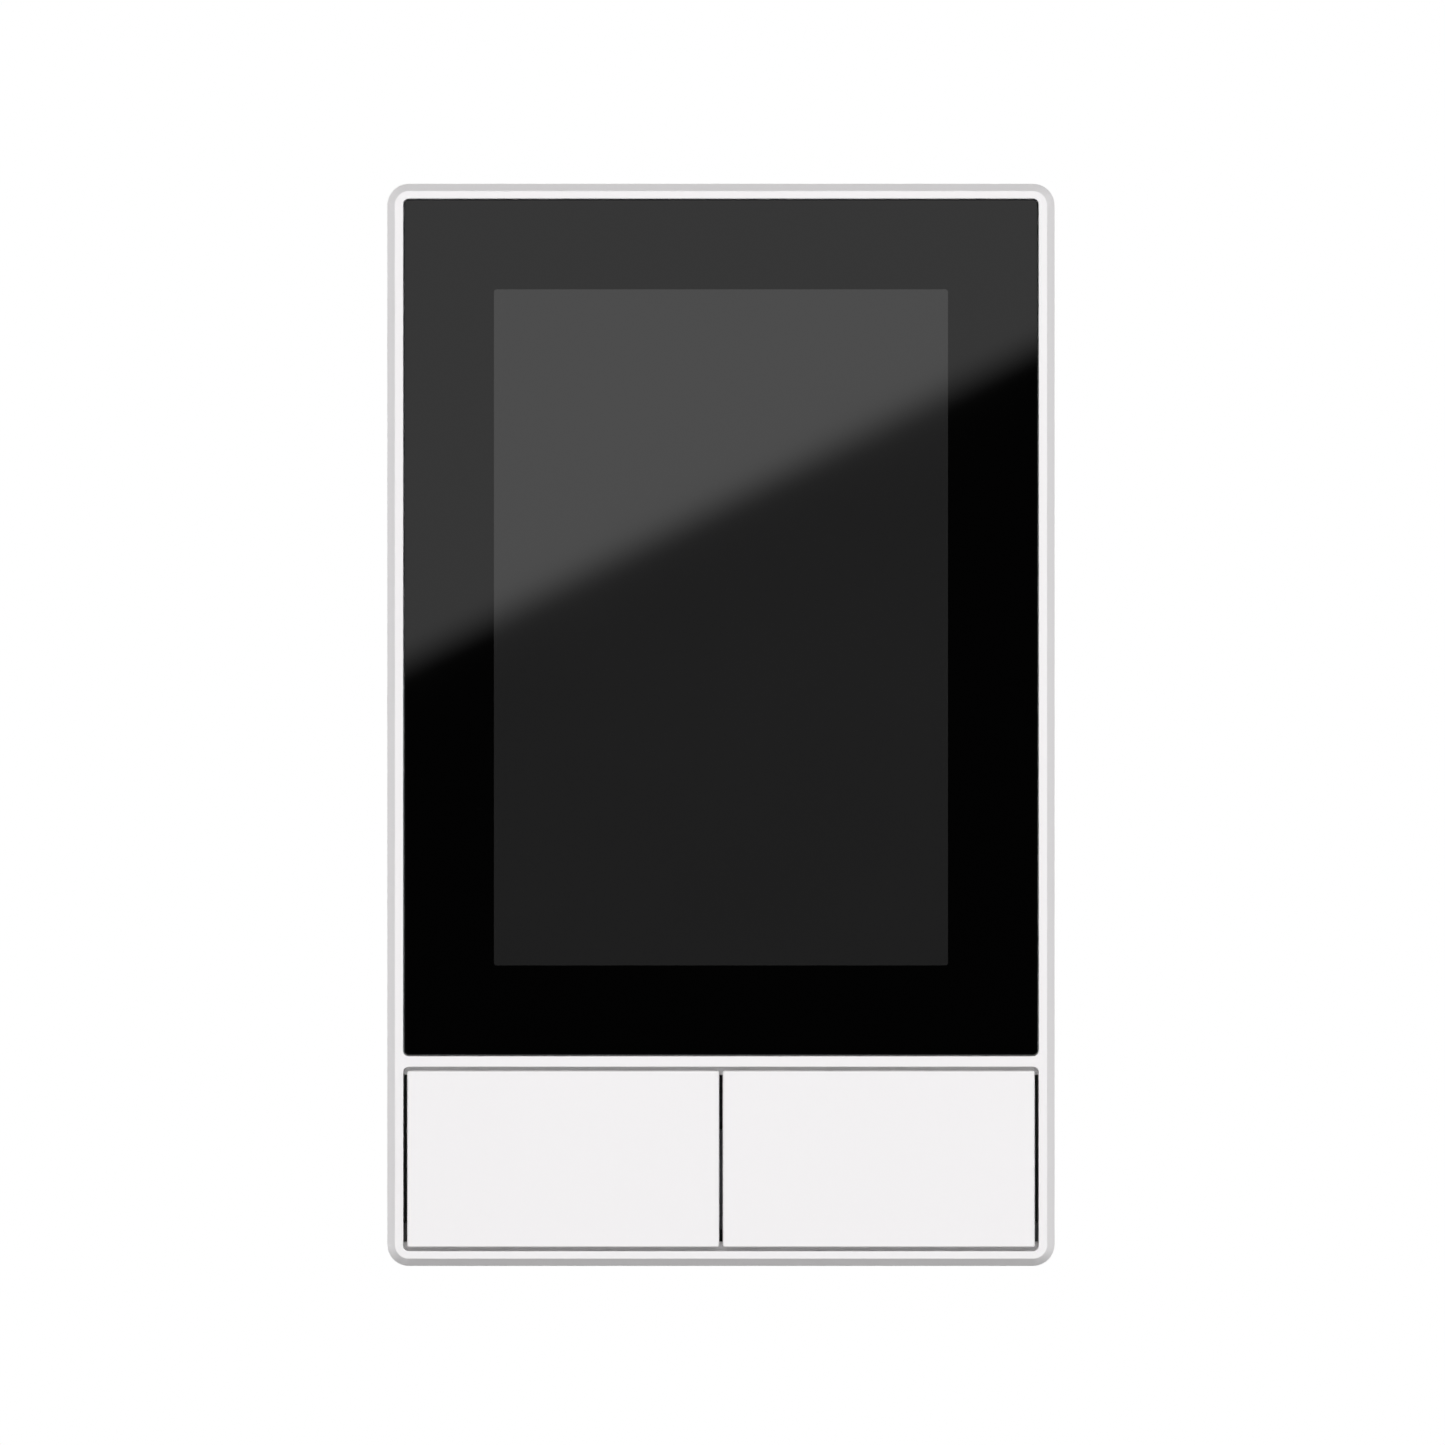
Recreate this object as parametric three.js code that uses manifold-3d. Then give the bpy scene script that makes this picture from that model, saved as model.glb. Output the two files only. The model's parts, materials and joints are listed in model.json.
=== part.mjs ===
// Wall-mounted video intercom and room control panel: a touch glass over a 3.5 inch display, two wide
// push keys below it, and a switching module that drops into a single-gang wall box.
//
// Millimetres, +Z up, +X to the right of someone facing the panel, +Y into the wall.
// The origin is on the wall plane, at the middle of the panel. The panel's face looks along -Y.

import * as THREE from 'three';
import { mergeVertices } from 'three/addons/utils/BufferGeometryUtils.js';
import Module from 'manifold-3d';

const wasm = await Module();
wasm.setup();

// ---------- driving dimensions ----------

const BODY = { width: 74, height: 120, depth: 12, corner: 2.4, wall: 1.8 };
const EDGE_CHAMFER = [0.85, 1.35]; // around the front of the bezel: its width and its depth
const SKIRT_OFF_WALL = 0.6; // the bezel's rear edge stays this far off the wall
const TOUCH_GAP = 0.03; // between pieces that rest on each other
const FIT = 0.1; // side clearance of a piece in its recess

const GLASS = { width: 70.2, height: 94.8, thick: 1.1, corner: 0.5, chamfer: 0.15 };
const BAR = 1.3; // white strip between the glass and the keys
const KEY = { gap: 0.42, between: 0.38, thick: 1.6, corner: 0.25, chamfer: 0.12, opening: 20.4 };
const LEDGE = { width: 3, thick: 1.1, setback: 1.6 };
const SHELF = { upper: 0.6, lower: 0.35, reach: 0.95 }; // behind the keys' upper and lower edges

const PANEL = { width: 54.4, height: 83.4, thick: 1.5 }; // liquid crystal cell
const TRAY = { wall: 0.45, play: 0.3, rear: -7.6 }; // pressed steel tray behind it
const BOARD = { width: 68.8, height: 114.6, front: -6.2, thick: 1.2, notch: 6.4 };
const REST = { x: 33.4, z: 20, radius: 1.6 }; // posts under the main board's long edges
const COVER = { front: -3.4, rear: -2.2, bump: [38.6, 48.6], bumpRear: -0.9, bumpWall: 1 };
const RABBET = 0.4; // step in the bezel's walls that the rear cover's edge lies in
const COVER_SCREWS = { x: 32.4, z: 55.4 };
const PLUG_Z = -18; // where the wall module's pins meet the main board

const HINGE = { y: -8.1, below: 2.3, rod: 0.75, hole: 0.86 }; // key pivots, below the keys' top edge
const EAR = { inner: 2.2, outer: 33.5, width: 1.8 }; // the bezel's ears that hold each key's pivot rod
const SWITCH = { below: 12.5, side: 6, height: 3, plunger: 1.7, rise: 0.7 };
const LUG = { x: 10.5, radius: 1.6, width: 2.4 }; // the keys hang from these on the pivot rod
const FOOT = { x: 10, width: 4, thick: 0.8, play: 0.25 }; // hooks behind the bezel's lower shelf

const FRAME = { width: 69.6, height: 115.6, web: 1.6, rim: 1.9, corner: 1.2, opening: [40, 50] };
const BOX_SCREWS = 83.3; // centre distance of the fixing screws of a single-gang wall box
const BOX_SCREW = { shaft: 1.55, head: 3.6, headHeight: 2.1, length: 22, slot: [9, 4.4] };
const SNAP = { x: 31.6, z: 24, width: 6, leg: 1.1, nose: 0.7 };

const MODULE = { width: 44.8, height: 64, front: 0.05, rear: 30, wall: 1.6, corner: 2, lid: 1.6 };
const CATCH = { z: 12, width: 6 }; // the lid's lip clicks into the case at these
const POWER_BOARD = { width: 41, height: 60.4, front: 5, thick: 1.6 };
const MODULE_SCREWS = { x: 18.8, z: 28.4 };

const TERMINAL = {
  count: 4, pitch: 10, z: -26, cell: 7.2, rear: 29.8, ceiling: 29,
  head: 2.7, headHeight: 1.85, shaft: 1.5, access: 2.3,
};

const ROUND = 16; // facets around a hole or a screw

// ---------- places worked out from them ----------

const faceY = -BODY.depth;
const top = BODY.height / 2;
const glassZ = top - BODY.wall - GLASS.height / 2;
const glassBottom = glassZ - GLASS.height / 2;
const keyTop = glassBottom - BAR - KEY.gap;
const openingTop = keyTop + KEY.gap;
const openingBottom = openingTop - KEY.opening;
const openingZ = (openingTop + openingBottom) / 2;
const keyHeight = KEY.opening - 2 * KEY.gap;
const openingWidth = BODY.width - 2 * BODY.wall;
const keyWidth = (openingWidth - 2 * KEY.gap - KEY.between) / 2;
const keyX = (keyWidth + KEY.between) / 2;
const hingeZ = keyTop - HINGE.below;
const ledgeFront = faceY + LEDGE.setback;
const ledgeRear = ledgeFront + LEDGE.thick;
const glassRear = faceY + GLASS.thick;
const panelFront = glassRear + 0.05;
const panelRear = panelFront + PANEL.thick;
const boardRear = BOARD.front + BOARD.thick;
const powerRear = POWER_BOARD.front + POWER_BOARD.thick;
const cavity = [BODY.width - 2 * BODY.wall, BODY.height - 2 * BODY.wall];
const coverSeat = cavity.map((side) => side + 2 * RABBET);
const corners = [[-1, 1], [1, 1], [-1, -1], [1, -1]];
const coverScrews = corners.map(([sx, sz]) => [sx * COVER_SCREWS.x, sz * COVER_SCREWS.z]);
const moduleScrews = corners.map(([sx, sz]) => [sx * MODULE_SCREWS.x, sz * MODULE_SCREWS.z]);
const boardRests = corners.map(([sx, sz]) => [sx * REST.x, sz * REST.z]);

// ---------- solids ----------

// A three.js geometry as a manifold-3d solid.
function solid(geometry) {
  const bare = new THREE.BufferGeometry();
  const loose = geometry.index ? geometry.toNonIndexed() : geometry;
  bare.setAttribute('position', loose.getAttribute('position'));
  const merged = mergeVertices(bare, 1e-4);
  return new wasm.Manifold(new wasm.Mesh({
    numProp: 3,
    vertProperties: merged.attributes.position.array,
    triVerts: new Uint32Array(merged.index.array),
  }));
}

// A manifold-3d solid as a three.js geometry.
function geometryOf(made) {
  const mesh = made.getMesh();
  const geometry = new THREE.BufferGeometry();
  geometry.setAttribute('position', new THREE.BufferAttribute(mesh.vertProperties, 3));
  geometry.setIndex(new THREE.BufferAttribute(mesh.triVerts, 1));
  geometry.computeVertexNormals();
  return geometry;
}

// A box from its ranges along X, Y and Z.
function box([x0, x1], [y0, y1], [z0, z1]) {
  const geometry = new THREE.BoxGeometry(x1 - x0, y1 - y0, z1 - z0);
  return solid(geometry.translate((x0 + x1) / 2, (y0 + y1) / 2, (z0 + z1) / 2));
}

// A range of the given length about a middle.
const about = (middle, length) => [middle - length / 2, middle + length / 2];

function roundedRectangle(width, height, corner) {
  const [x, y] = [width / 2, height / 2];
  const shape = new THREE.Shape();
  shape.moveTo(x - corner, -y);
  shape.absarc(x - corner, -y + corner, corner, -Math.PI / 2, 0);
  shape.absarc(x - corner, y - corner, corner, 0, Math.PI / 2);
  shape.absarc(-x + corner, y - corner, corner, Math.PI / 2, Math.PI);
  shape.absarc(-x + corner, -y + corner, corner, Math.PI, 1.5 * Math.PI);
  return shape;
}

// Facets in a quarter turn of a rounded corner.
const facetsFor = (corner) => (corner > 2 ? 6 : corner > 0.9 ? 3 : 2);

// A shape drawn in X and Z, carried along Y over a range, with an optional chamfer round its front edge.
function carried(shape, [y0, y1], chamfer = [0, 0], facets = 4) {
  const [width, depth] = chamfer;
  const extra = depth ? depth + 1 : 0; // the rear edge is chamfered too, further back, and cut off
  const geometry = new THREE.ExtrudeGeometry(shape, {
    depth: y1 - y0 - depth + extra,
    curveSegments: facets,
    bevelEnabled: depth > 0,
    bevelSize: width,
    bevelOffset: -width,
    bevelThickness: depth,
    bevelSegments: 1,
  });
  geometry.translate(0, 0, -(y1 + extra)).rotateX(Math.PI / 2);
  return depth ? solid(geometry).trimByPlane([0, -1, 0], -y1) : solid(geometry);
}

// A plate with rounded corners facing Y, about the given middle in X and Z.
function plate(width, height, corner, range, { x = 0, z = 0, chamfer } = {}) {
  const outline = roundedRectangle(width, height, corner);
  return carried(outline, range, chamfer, facetsFor(corner)).translate([x, 0, z]);
}

// A round bar or hole along an axis, over a range of it, about the given middle.
function round(radius, axis, [from, to], middle = [0, 0, 0], facets = ROUND) {
  const geometry = new THREE.CylinderGeometry(radius, radius, to - from, facets);
  geometry.translate(0, (from + to) / 2, 0);
  if (axis === 'x') geometry.rotateZ(-Math.PI / 2);
  if (axis === 'z') geometry.rotateX(Math.PI / 2);
  return solid(geometry.translate(...middle));
}

// A turned piece along Y, from [radius, y] pairs that start and end on the axis.
function turned(profile, facets = ROUND) {
  return solid(new THREE.LatheGeometry(profile.map(([r, y]) => new THREE.Vector2(r, y)), facets));
}

const join = (...parts) => parts.reduce((whole, part) => whole.add(part));
const cut = (whole, ...tools) => tools.reduce((left, tool) => left.subtract(tool), whole);

// ---------- materials ----------

const paint = (color, roughness, metalness = 0) =>
  new THREE.MeshStandardMaterial({ color, roughness, metalness });

const whitePlastic = paint('#f1eff0', 0.42);
const whiteKey = paint('#f3f1f2', 0.45);
const innerWhite = paint('#e4e2df', 0.55);
const darkPlastic = paint('#2b2c2e', 0.6);
const greyPlastic = paint('#4a4c50', 0.55);
const blackGlass = paint('#050506', 0.04);
const displayGlass = paint('#1c1c1d', 0.2);
const tape = paint('#101010', 0.8);
const lightGuide = paint('#e9edf0', 0.25);
const steel = paint('#b9bcc0', 0.35, 1);
const zinc = paint('#a9a79c', 0.4, 1);
const brass = paint('#b99b4e', 0.35, 1);
const tinned = paint('#c6c8c9', 0.3, 1);
const greenBoard = paint('#1e5a38', 0.5);
const blackBoard = paint('#15181a', 0.5);
const amberFilm = paint('#b8742a', 0.4);
const chip = paint('#1a1a1c', 0.55);
const relayBlue = paint('#274b8f', 0.45);
const ferrite = paint('#3a3a3d', 0.75);
const windingYellow = paint('#d8b23c', 0.55);
const capSleeve = paint('#20242c', 0.35);
const filmYellow = paint('#d9a431', 0.5);
const varistorBlue = paint('#2d5fa6', 0.4);
const connectorIvory = paint('#e8e1cf', 0.5);

function piece(name, made, material, position = [0, 0, 0]) {
  const mesh = new THREE.Mesh(geometryOf(made), material);
  mesh.name = name;
  mesh.position.set(...position);
  return mesh;
}

function group(...members) {
  const made = new THREE.Group();
  made.add(...members);
  return made;
}

// ---------- front unit: bezel ----------

// An ear that holds one end of a key's pivot rod, hung from the rib behind the strip above the keys.
function hingeEar(x) {
  const ear = box(about(x, EAR.width), [ledgeRear - 0.4, BOARD.front - 0.3], [hingeZ - 1.7, glassBottom]);
  return cut(ear, round(HINGE.rod + 0.05, 'x', about(0, 80), [0, HINGE.y, hingeZ]));
}

// Slots in the lower wall let the sound of the speaker out.
function soundSlots() {
  const slots = [];
  for (let i = -2; i <= 2; i++) slots.push(box(about(i * 1.8, 0.9), [-8.6, -4.6], [-top - 1, -top + 3]));
  return slots;
}

// Slots in both long walls let warm air out.
function airSlots() {
  const slots = [];
  for (let i = 0; i < 6; i++) {
    for (const side of [-1, 1]) {
      slots.push(box(about(side * BODY.width / 2, 5), [-5.4, -4.2], about(30 - i * 6, 4)));
    }
  }
  return slots;
}

function frontBezel() {
  const rear = -SKIRT_OFF_WALL;
  const outside = plate(BODY.width, BODY.height, BODY.corner, [faceY, rear], { chamfer: EDGE_CHAMFER });
  const hollow = plate(...cavity, 1, [ledgeRear, rear + 1]);
  const rabbet = plate(...coverSeat, 1, [COVER.front - TOUCH_GAP, rear + 1]);
  const glassSeat = plate(GLASS.width + 2 * FIT, GLASS.height + 2 * FIT, GLASS.corner + FIT,
    [faceY - 1, ledgeFront], { z: glassZ });
  const inside = 2 * (LEDGE.width - FIT);
  const window = plate(GLASS.width - inside, GLASS.height - inside, 1, [faceY - 1, ledgeRear + 1],
    { z: glassZ });
  const keyOpening = plate(openingWidth, KEY.opening, 0.6, [faceY - 1, ledgeRear + 1], { z: openingZ });
  const pryNotch = box(about(0, 10), [rear - 1.4, 1], [-top - 1, -top + 3]);

  const shell = cut(outside, hollow, rabbet, glassSeat, window, keyOpening, pryNotch,
    ...soundSlots(), ...airSlots());

  const rib = box(about(0, openingWidth + 0.4), [ledgeRear - 0.1, BOARD.front - 0.3],
    [openingTop, glassBottom + FIT]);
  // Shelves behind the keys' upper and lower edges close the gaps; the keys' feet hook behind the lower one.
  const shelves = [
    box(about(0, openingWidth + 0.4), [ledgeRear - SHELF.upper, ledgeRear + 0.1],
      [openingTop - SHELF.reach, openingTop + 0.1]),
    box(about(0, openingWidth + 0.4), [ledgeRear - SHELF.lower, ledgeRear + 0.1],
      [openingBottom - 0.1, openingBottom + SHELF.reach]),
  ];
  const ears = [-EAR.outer, -EAR.inner, EAR.inner, EAR.outer].map(hingeEar);
  // Corner posts for the rear cover's screws.
  const posts = coverScrews.map(([x, z]) => {
    const range = [z > 0 ? ledgeRear - 0.2 : ledgeRear + 1.4, COVER.front - TOUCH_GAP];
    const web = box(about(Math.sign(x) * (cavity[0] / 2 - 1.4), 3), range,
      about(Math.sign(z) * (cavity[1] / 2 - 1.4), 3));
    const post = join(round(2.5, 'y', range, [x, 0, z]), web);
    return cut(post, round(0.8, 'y', [COVER.front - 4.2, COVER.front + 1], [x, 0, z], 12));
  });
  // Posts that the main board rests on.
  const rests = boardRests.map(([x, z]) =>
    round(REST.radius, 'y', [ledgeRear - 0.2, BOARD.front - TOUCH_GAP], [x, 0, z], 12));
  return join(shell, rib, ...shelves, ...ears, ...posts, ...rests);
}

// ---------- front unit: glass and display ----------

function coverGlass() {
  const chamfer = [GLASS.chamfer, GLASS.chamfer];
  return plate(GLASS.width, GLASS.height, GLASS.corner, [faceY, glassRear], { chamfer });
}

function glassAdhesive() {
  const inside = 2 * (LEDGE.width - FIT);
  const range = [glassRear + TOUCH_GAP, ledgeFront - TOUCH_GAP];
  const sheet = plate(GLASS.width - 0.6, GLASS.height - 0.6, 0.4, range);
  return cut(sheet, plate(GLASS.width - inside, GLASS.height - inside, 1, [range[0] - 1, range[1] + 1]));
}

const trayInside = [PANEL.width + 2 * TRAY.play, PANEL.height + 2 * TRAY.play];
const trayOutside = trayInside.map((side) => side + 2 * TRAY.wall);

function lcdPanel() {
  const cell = box(about(0, PANEL.width), [panelFront, panelRear], about(0, PANEL.height));
  // The lower glass sheet is longer than the upper one, so that the driver and flex can be bonded to it.
  const shelf = box(about(0, PANEL.width + 1), [panelFront - 1, panelFront + 0.7],
    [-PANEL.height / 2 - 1, -PANEL.height / 2 + 3.2]);
  return cut(cell, shelf);
}

function lightGuideSheet() {
  const range = [panelRear + TOUCH_GAP, TRAY.rear - TRAY.wall - TOUCH_GAP];
  return plate(PANEL.width + 0.2, PANEL.height + 0.2, 0.5, range);
}

function lcdTray() {
  const shell = plate(...trayOutside, 0.8, [panelFront + 0.3, TRAY.rear]);
  const inside = plate(...trayInside, 0.5, [panelFront - 1, TRAY.rear - TRAY.wall]);
  const flexNotch = box(about(-6, 27), [panelFront - 1, panelRear + 0.4],
    [-trayOutside[1] / 2 - 1, -trayInside[1] / 2 + 1]);
  // Four shallow panels are pressed into the floor, to stiffen it.
  const dents = [];
  for (const x of [-14, 14]) {
    for (const z of [-22, 6]) dents.push(plate(16, 20, 2, [TRAY.rear - 0.18, TRAY.rear + 1], { x, z }));
  }
  return cut(shell, inside, flexNotch, ...dents);
}

// A ribbon of the given width in X, whose edge follows a path drawn in Y and Z.
function ribbon(path, thickness, width) {
  const points = path.getPoints(10);
  const sides = [1, -1].map((side) => points.map((p, i) => {
    const along = points[Math.min(i + 1, points.length - 1)].clone().sub(points[Math.max(i - 1, 0)]);
    const across = new THREE.Vector2(-along.y, along.x).setLength(side * thickness / 2);
    return p.clone().add(across);
  }));
  const edge = new THREE.Shape([...sides[0], ...sides[1].reverse()]);
  const geometry = new THREE.ExtrudeGeometry(edge, { depth: width, bevelEnabled: false });
  geometry.translate(0, 0, -width / 2);
  // drawn x, y, z become Y, Z, X
  geometry.applyMatrix4(new THREE.Matrix4().makeBasis(
    new THREE.Vector3(0, 1, 0), new THREE.Vector3(0, 0, 1), new THREE.Vector3(1, 0, 0)));
  return solid(geometry);
}

// From the display's lower edge, round the tray, and up behind it to the connector.
function flexLoop(startY, startZ, endZ, thickness, width) {
  const backY = (TRAY.rear + BOARD.front) / 2 - 0.45;
  const radius = (backY - startY) / 2;
  const turnZ = -trayOutside[1] / 2 - 0.25;
  const path = new THREE.Path();
  path.moveTo(startY, startZ);
  path.lineTo(startY, turnZ);
  path.absarc(startY + radius, turnZ, radius, Math.PI, 2 * Math.PI, false);
  path.lineTo(backY, endZ);
  return ribbon(path, thickness, width);
}

// ---------- front unit: main board ----------

function mainBoard() {
  const range = [BOARD.front, boardRear];
  const sheet = plate(BOARD.width, BOARD.height, 0.6, range);
  const reach = BOARD.notch;
  const notches = coverScrews.map(([x, z]) => box(
    about(Math.sign(x) * (BOARD.width / 2 + 4 - reach), 8), [range[0] - 1, range[1] + 1],
    about(Math.sign(z) * (BOARD.height / 2 + 4 - reach), 8)));
  const pinHoles = [];
  for (let i = 0; i < 6; i++) {
    pinHoles.push(round(0.5, 'y', [range[0] - 1, range[1] + 1], [-6.35 + i * 2.54, 0, 47], 8));
  }
  return cut(sheet, ...notches, ...pinHoles);
}

// A small radio board with a shield can over most of it; the bare end is the aerial.
function radioModule() {
  const front = boardRear + TOUCH_GAP;
  return join(box(about(0, 18), [front, front + 0.8], about(0, 23.6)),
    plate(16, 17.6, 0.8, [front + 0.7, front + 2.6], { z: -2.4 }));
}

function speakerBody() {
  const rear = BOARD.front - TOUCH_GAP;
  const body = plate(18, 11, 1.6, [rear - 2.9, rear]);
  const surround = cut(plate(15, 8, 3.4, [rear - 3.5, rear - 2.5]), plate(12.6, 5.6, 2.6, [rear - 4, rear]));
  return cut(body, surround);
}

// Receptacle behind the main board for the pins of the wall module.
function boardSocket() {
  const front = boardRear + TOUCH_GAP;
  const body = box(about(0, 11), [front, front + 5.4], about(0, 5.6));
  return cut(body, box(about(0, 9.2), [front + 0.9, front + 7], about(0, 3.8)));
}

function boardPlug() {
  const rear = POWER_BOARD.front - TOUCH_GAP;
  const parts = [box(about(0, 10.4), [rear - 2.5, rear], about(0, 5.2))];
  for (let i = 0; i < 4; i++) {
    for (const z of [-1.27, 1.27]) {
      parts.push(box(about((i - 1.5) * 2, 0.64), [-3.4, rear - 2], about(z, 0.64)));
    }
  }
  return join(...parts);
}

// ---------- keys and their switches, drawn about the pivot ----------

function keyCap() {
  const front = faceY - HINGE.y;
  const rear = front + KEY.thick;
  const face = plate(keyWidth, keyHeight, KEY.corner, [front, rear],
    { z: HINGE.below - keyHeight / 2, chamfer: [KEY.chamfer, KEY.chamfer] });
  const lugs = [-LUG.x, LUG.x].map((x) => join(
    round(LUG.radius, 'x', about(x, LUG.width), [0, 0, 0], 24),
    box(about(x, LUG.width), [rear - 0.1, 0], about(0, 2 * LUG.radius))));
  const pivots = round(HINGE.hole, 'x', about(0, keyWidth + 2), [0, 0, 0], 24);
  // The nib that presses the switch ends just short of the plunger.
  const nibRear = BOARD.front - HINGE.y - SWITCH.height - SWITCH.rise - 3 * TOUCH_GAP;
  const nib = box(about(0, 3), [rear - 0.1, nibRear], about(-SWITCH.below, 3));
  const low = HINGE.below - keyHeight;
  const stiff = [rear - 0.1, rear + 0.6];
  const ribs = [-14.4, 14.4].map((x) => box(about(x, 0.8), stiff, [low + 1.2, -3.4]));
  const crossRib = box(about(0, 28.8), stiff, about(low + 1.6, 0.8));
  // Feet that hook behind the bezel's lower shelf, so that the key rests flush.
  const hook = [ledgeRear - HINGE.y + FOOT.play, ledgeRear - HINGE.y + FOOT.play + FOOT.thick];
  const feet = [-FOOT.x, FOOT.x].map((x) => join(
    box(about(x, FOOT.width), [rear - 0.1, hook[1]], [low + 0.7, low + 1.6]),
    box(about(x, FOOT.width), hook, [low - 0.1, low + 1.6])));
  return cut(join(face, ...lugs, nib, ...ribs, crossRib, ...feet), pivots);
}

// Each rod runs through its two ears and ends flush with them.
const rodX = (EAR.inner + EAR.outer) / 2;
const pivotRod = () => round(HINGE.rod, 'x', about(0, EAR.outer - EAR.inner + EAR.width), [0, 0, 0], 24);

function switchBody() {
  const [front, rear] = [BOARD.front - SWITCH.height, BOARD.front - TOUCH_GAP];
  const body = plate(SWITCH.side, SWITCH.side, 0.4, [front, rear]);
  return cut(body, round(SWITCH.plunger + 0.12, 'y', [front - 1, rear - 0.8], [0, 0, 0], 24));
}

function switchPlunger() {
  const front = BOARD.front - SWITCH.height - SWITCH.rise;
  return round(SWITCH.plunger, 'y', [front, BOARD.front - 1.6], [0, 0, 0], 24);
}

// ---------- front unit: rear cover ----------

function rearCover() {
  const { front, rear, bump, bumpRear, bumpWall } = COVER;
  const sheet = plate(coverSeat[0] - 2 * FIT, coverSeat[1] - 2 * FIT, 0.9, [front, rear]);
  const swelling = plate(...bump, 1.5, [rear - 0.2, bumpRear]);
  const pan = plate(bump[0] - 2 * bumpWall, bump[1] - 2 * bumpWall, 0.8, [front - 1, bumpRear - bumpWall]);
  const socketWindow = box(about(0, 12), [front - 1, 1], about(PLUG_Z, 6.6));
  const screwHoles = coverScrews.map(([x, z]) => join(
    round(1.15, 'y', [front - 1, rear + 1], [x, 0, z], 16),
    round(2.1, 'y', [rear - 0.7, rear + 1], [x, 0, z], 16)));
  const headClearance = [-1, 1].map((side) =>
    plate(16, 10, 5, [front - 1, rear + 1], { z: side * BOX_SCREWS / 2 }));
  const vents = [];
  for (let i = 0; i < 5; i++) vents.push(plate(14, 1.4, 0.6, [bumpRear - 2, 1], { z: 20 - i * 3.2 }));
  // Pads that hold the main board down on its rests.
  const padRange = [boardRear + TOUCH_GAP, front + 0.2];
  const pads = boardRests.map(([x, z]) => round(1.4, 'y', padRange, [x, 0, z], 12));
  const hooks = [];
  for (const side of [-1, 1]) {
    for (const z of [-SNAP.z, SNAP.z]) {
      const x = side * SNAP.x;
      hooks.push(box(about(x, SNAP.leg), [rear - 0.2, -0.15], about(z, SNAP.width)));
      hooks.push(box(about(x + side * SNAP.nose / 2, SNAP.leg + SNAP.nose), [-0.75, -0.15],
        about(z, SNAP.width)));
    }
  }
  return join(cut(join(sheet, swelling), pan, socketWindow, ...screwHoles, ...headClearance, ...vents),
    ...pads, ...hooks);
}

// A small recessed screw with a cross drive, head towards +Y, its seat at y = 0.
function smallScrew(shaft, head, height, length) {
  const made = turned([[0, -length], [shaft * 0.7, -length], [shaft, -length + 0.6], [shaft, 0], [head, 0],
    [head, height * 0.7], [head * 0.82, height], [0, height]], 16);
  const arms = [[head * 1.2, 0.4], [0.4, head * 1.2]].map(([x, z]) =>
    box(about(0, x), [height * 0.35, height + 1], about(0, z)));
  return cut(made, ...arms);
}

// ---------- wall unit: mounting frame ----------

function mountFrame() {
  const { width, height, web, rim, corner, opening } = FRAME;
  const sheet = plate(width, height, corner, [-web, 0]);
  const lip = cut(plate(width, height, corner, [-rim, -web + 0.2]),
    plate(width - 2.4, height - 2.4, corner / 2, [-rim - 1, 1]));
  const middle = plate(...opening, 2, [-rim - 1, 1]);
  const boxSlots = [-1, 1].map((side) =>
    plate(...BOX_SCREW.slot, BOX_SCREW.slot[1] / 2 - 0.01, [-rim - 1, 1], { z: side * BOX_SCREWS / 2 }));
  // Keyhole slots beside them suit a round European box.
  const sideSlots = [-1, 1].map((side) =>
    plate(3.8, 8, 1.89, [-rim - 1, 1], { x: side * 30.15 }));
  // Each snap window is wider behind, where the hook of the front unit engages.
  const windows = [];
  for (const side of [-1, 1]) {
    for (const z of [-SNAP.z, SNAP.z]) {
      const inner = side * (SNAP.x - 1.1);
      const outer = side * (SNAP.x + SNAP.leg / 2 + SNAP.nose + 0.25);
      const across = [Math.min(inner, outer), Math.max(inner, outer)];
      windows.push(box(across, [-rim - 1, 1], about(z, SNAP.width + 1)));
      const behind = side > 0 ? [across[0], across[1] + 0.8] : [across[0] - 0.8, across[1]];
      windows.push(box(behind, [-0.8, 1], about(z, SNAP.width + 1)));
    }
  }
  const screwHoles = moduleScrews.map(([x, z]) => join(
    round(1.3, 'y', [-rim - 1, 1], [x, 0, z], 16),
    round(2.5, 'y', [-rim - 1, -0.8], [x, 0, z], 16)));
  // Shallow pockets on the wall side save plastic and leave a grid of ribs.
  const pockets = [];
  for (const side of [-1, 1]) {
    for (const x of [-22.5, -9, 9, 22.5]) {
      pockets.push(plate(x * x > 100 ? 11 : 6, 7, 0.6, [-0.8, 1], { x, z: side * 50.5 }));
    }
    for (const z of [-42, -8, 8, 42]) {
      pockets.push(plate(5, z * z > 100 ? 8 : 6, 0.6, [-0.8, 1], { x: side * 28.6, z: z * 1.1 }));
    }
  }
  const pry = box(about(0, 10), [-rim - 1, -0.9], [-height / 2 - 1, -height / 2 + 2.2]);
  return cut(join(sheet, lip), middle, ...boxSlots, ...sideSlots, ...windows, ...screwHoles,
    ...pockets, pry);
}

// Fixing screw of the wall box, its head's seat at y = 0 and its tip towards +Y.
function wallScrew() {
  const { shaft, head, headHeight, length } = BOX_SCREW;
  const made = turned([[0, -headHeight], [head * 0.55, -headHeight], [head * 0.9, -headHeight * 0.72],
    [head, -headHeight * 0.35], [head, 0], [shaft, 0], [shaft, length - 1], [shaft * 0.6, length],
    [0, length]], 20);
  const slots = [[head * 1.25, 1], [1, head * 1.25]].map(([x, z]) =>
    box(about(0, x), [-headHeight - 1, -headHeight + 1.1], about(0, z)));
  return cut(made, ...slots);
}

// ---------- wall unit: switching module ----------

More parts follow.
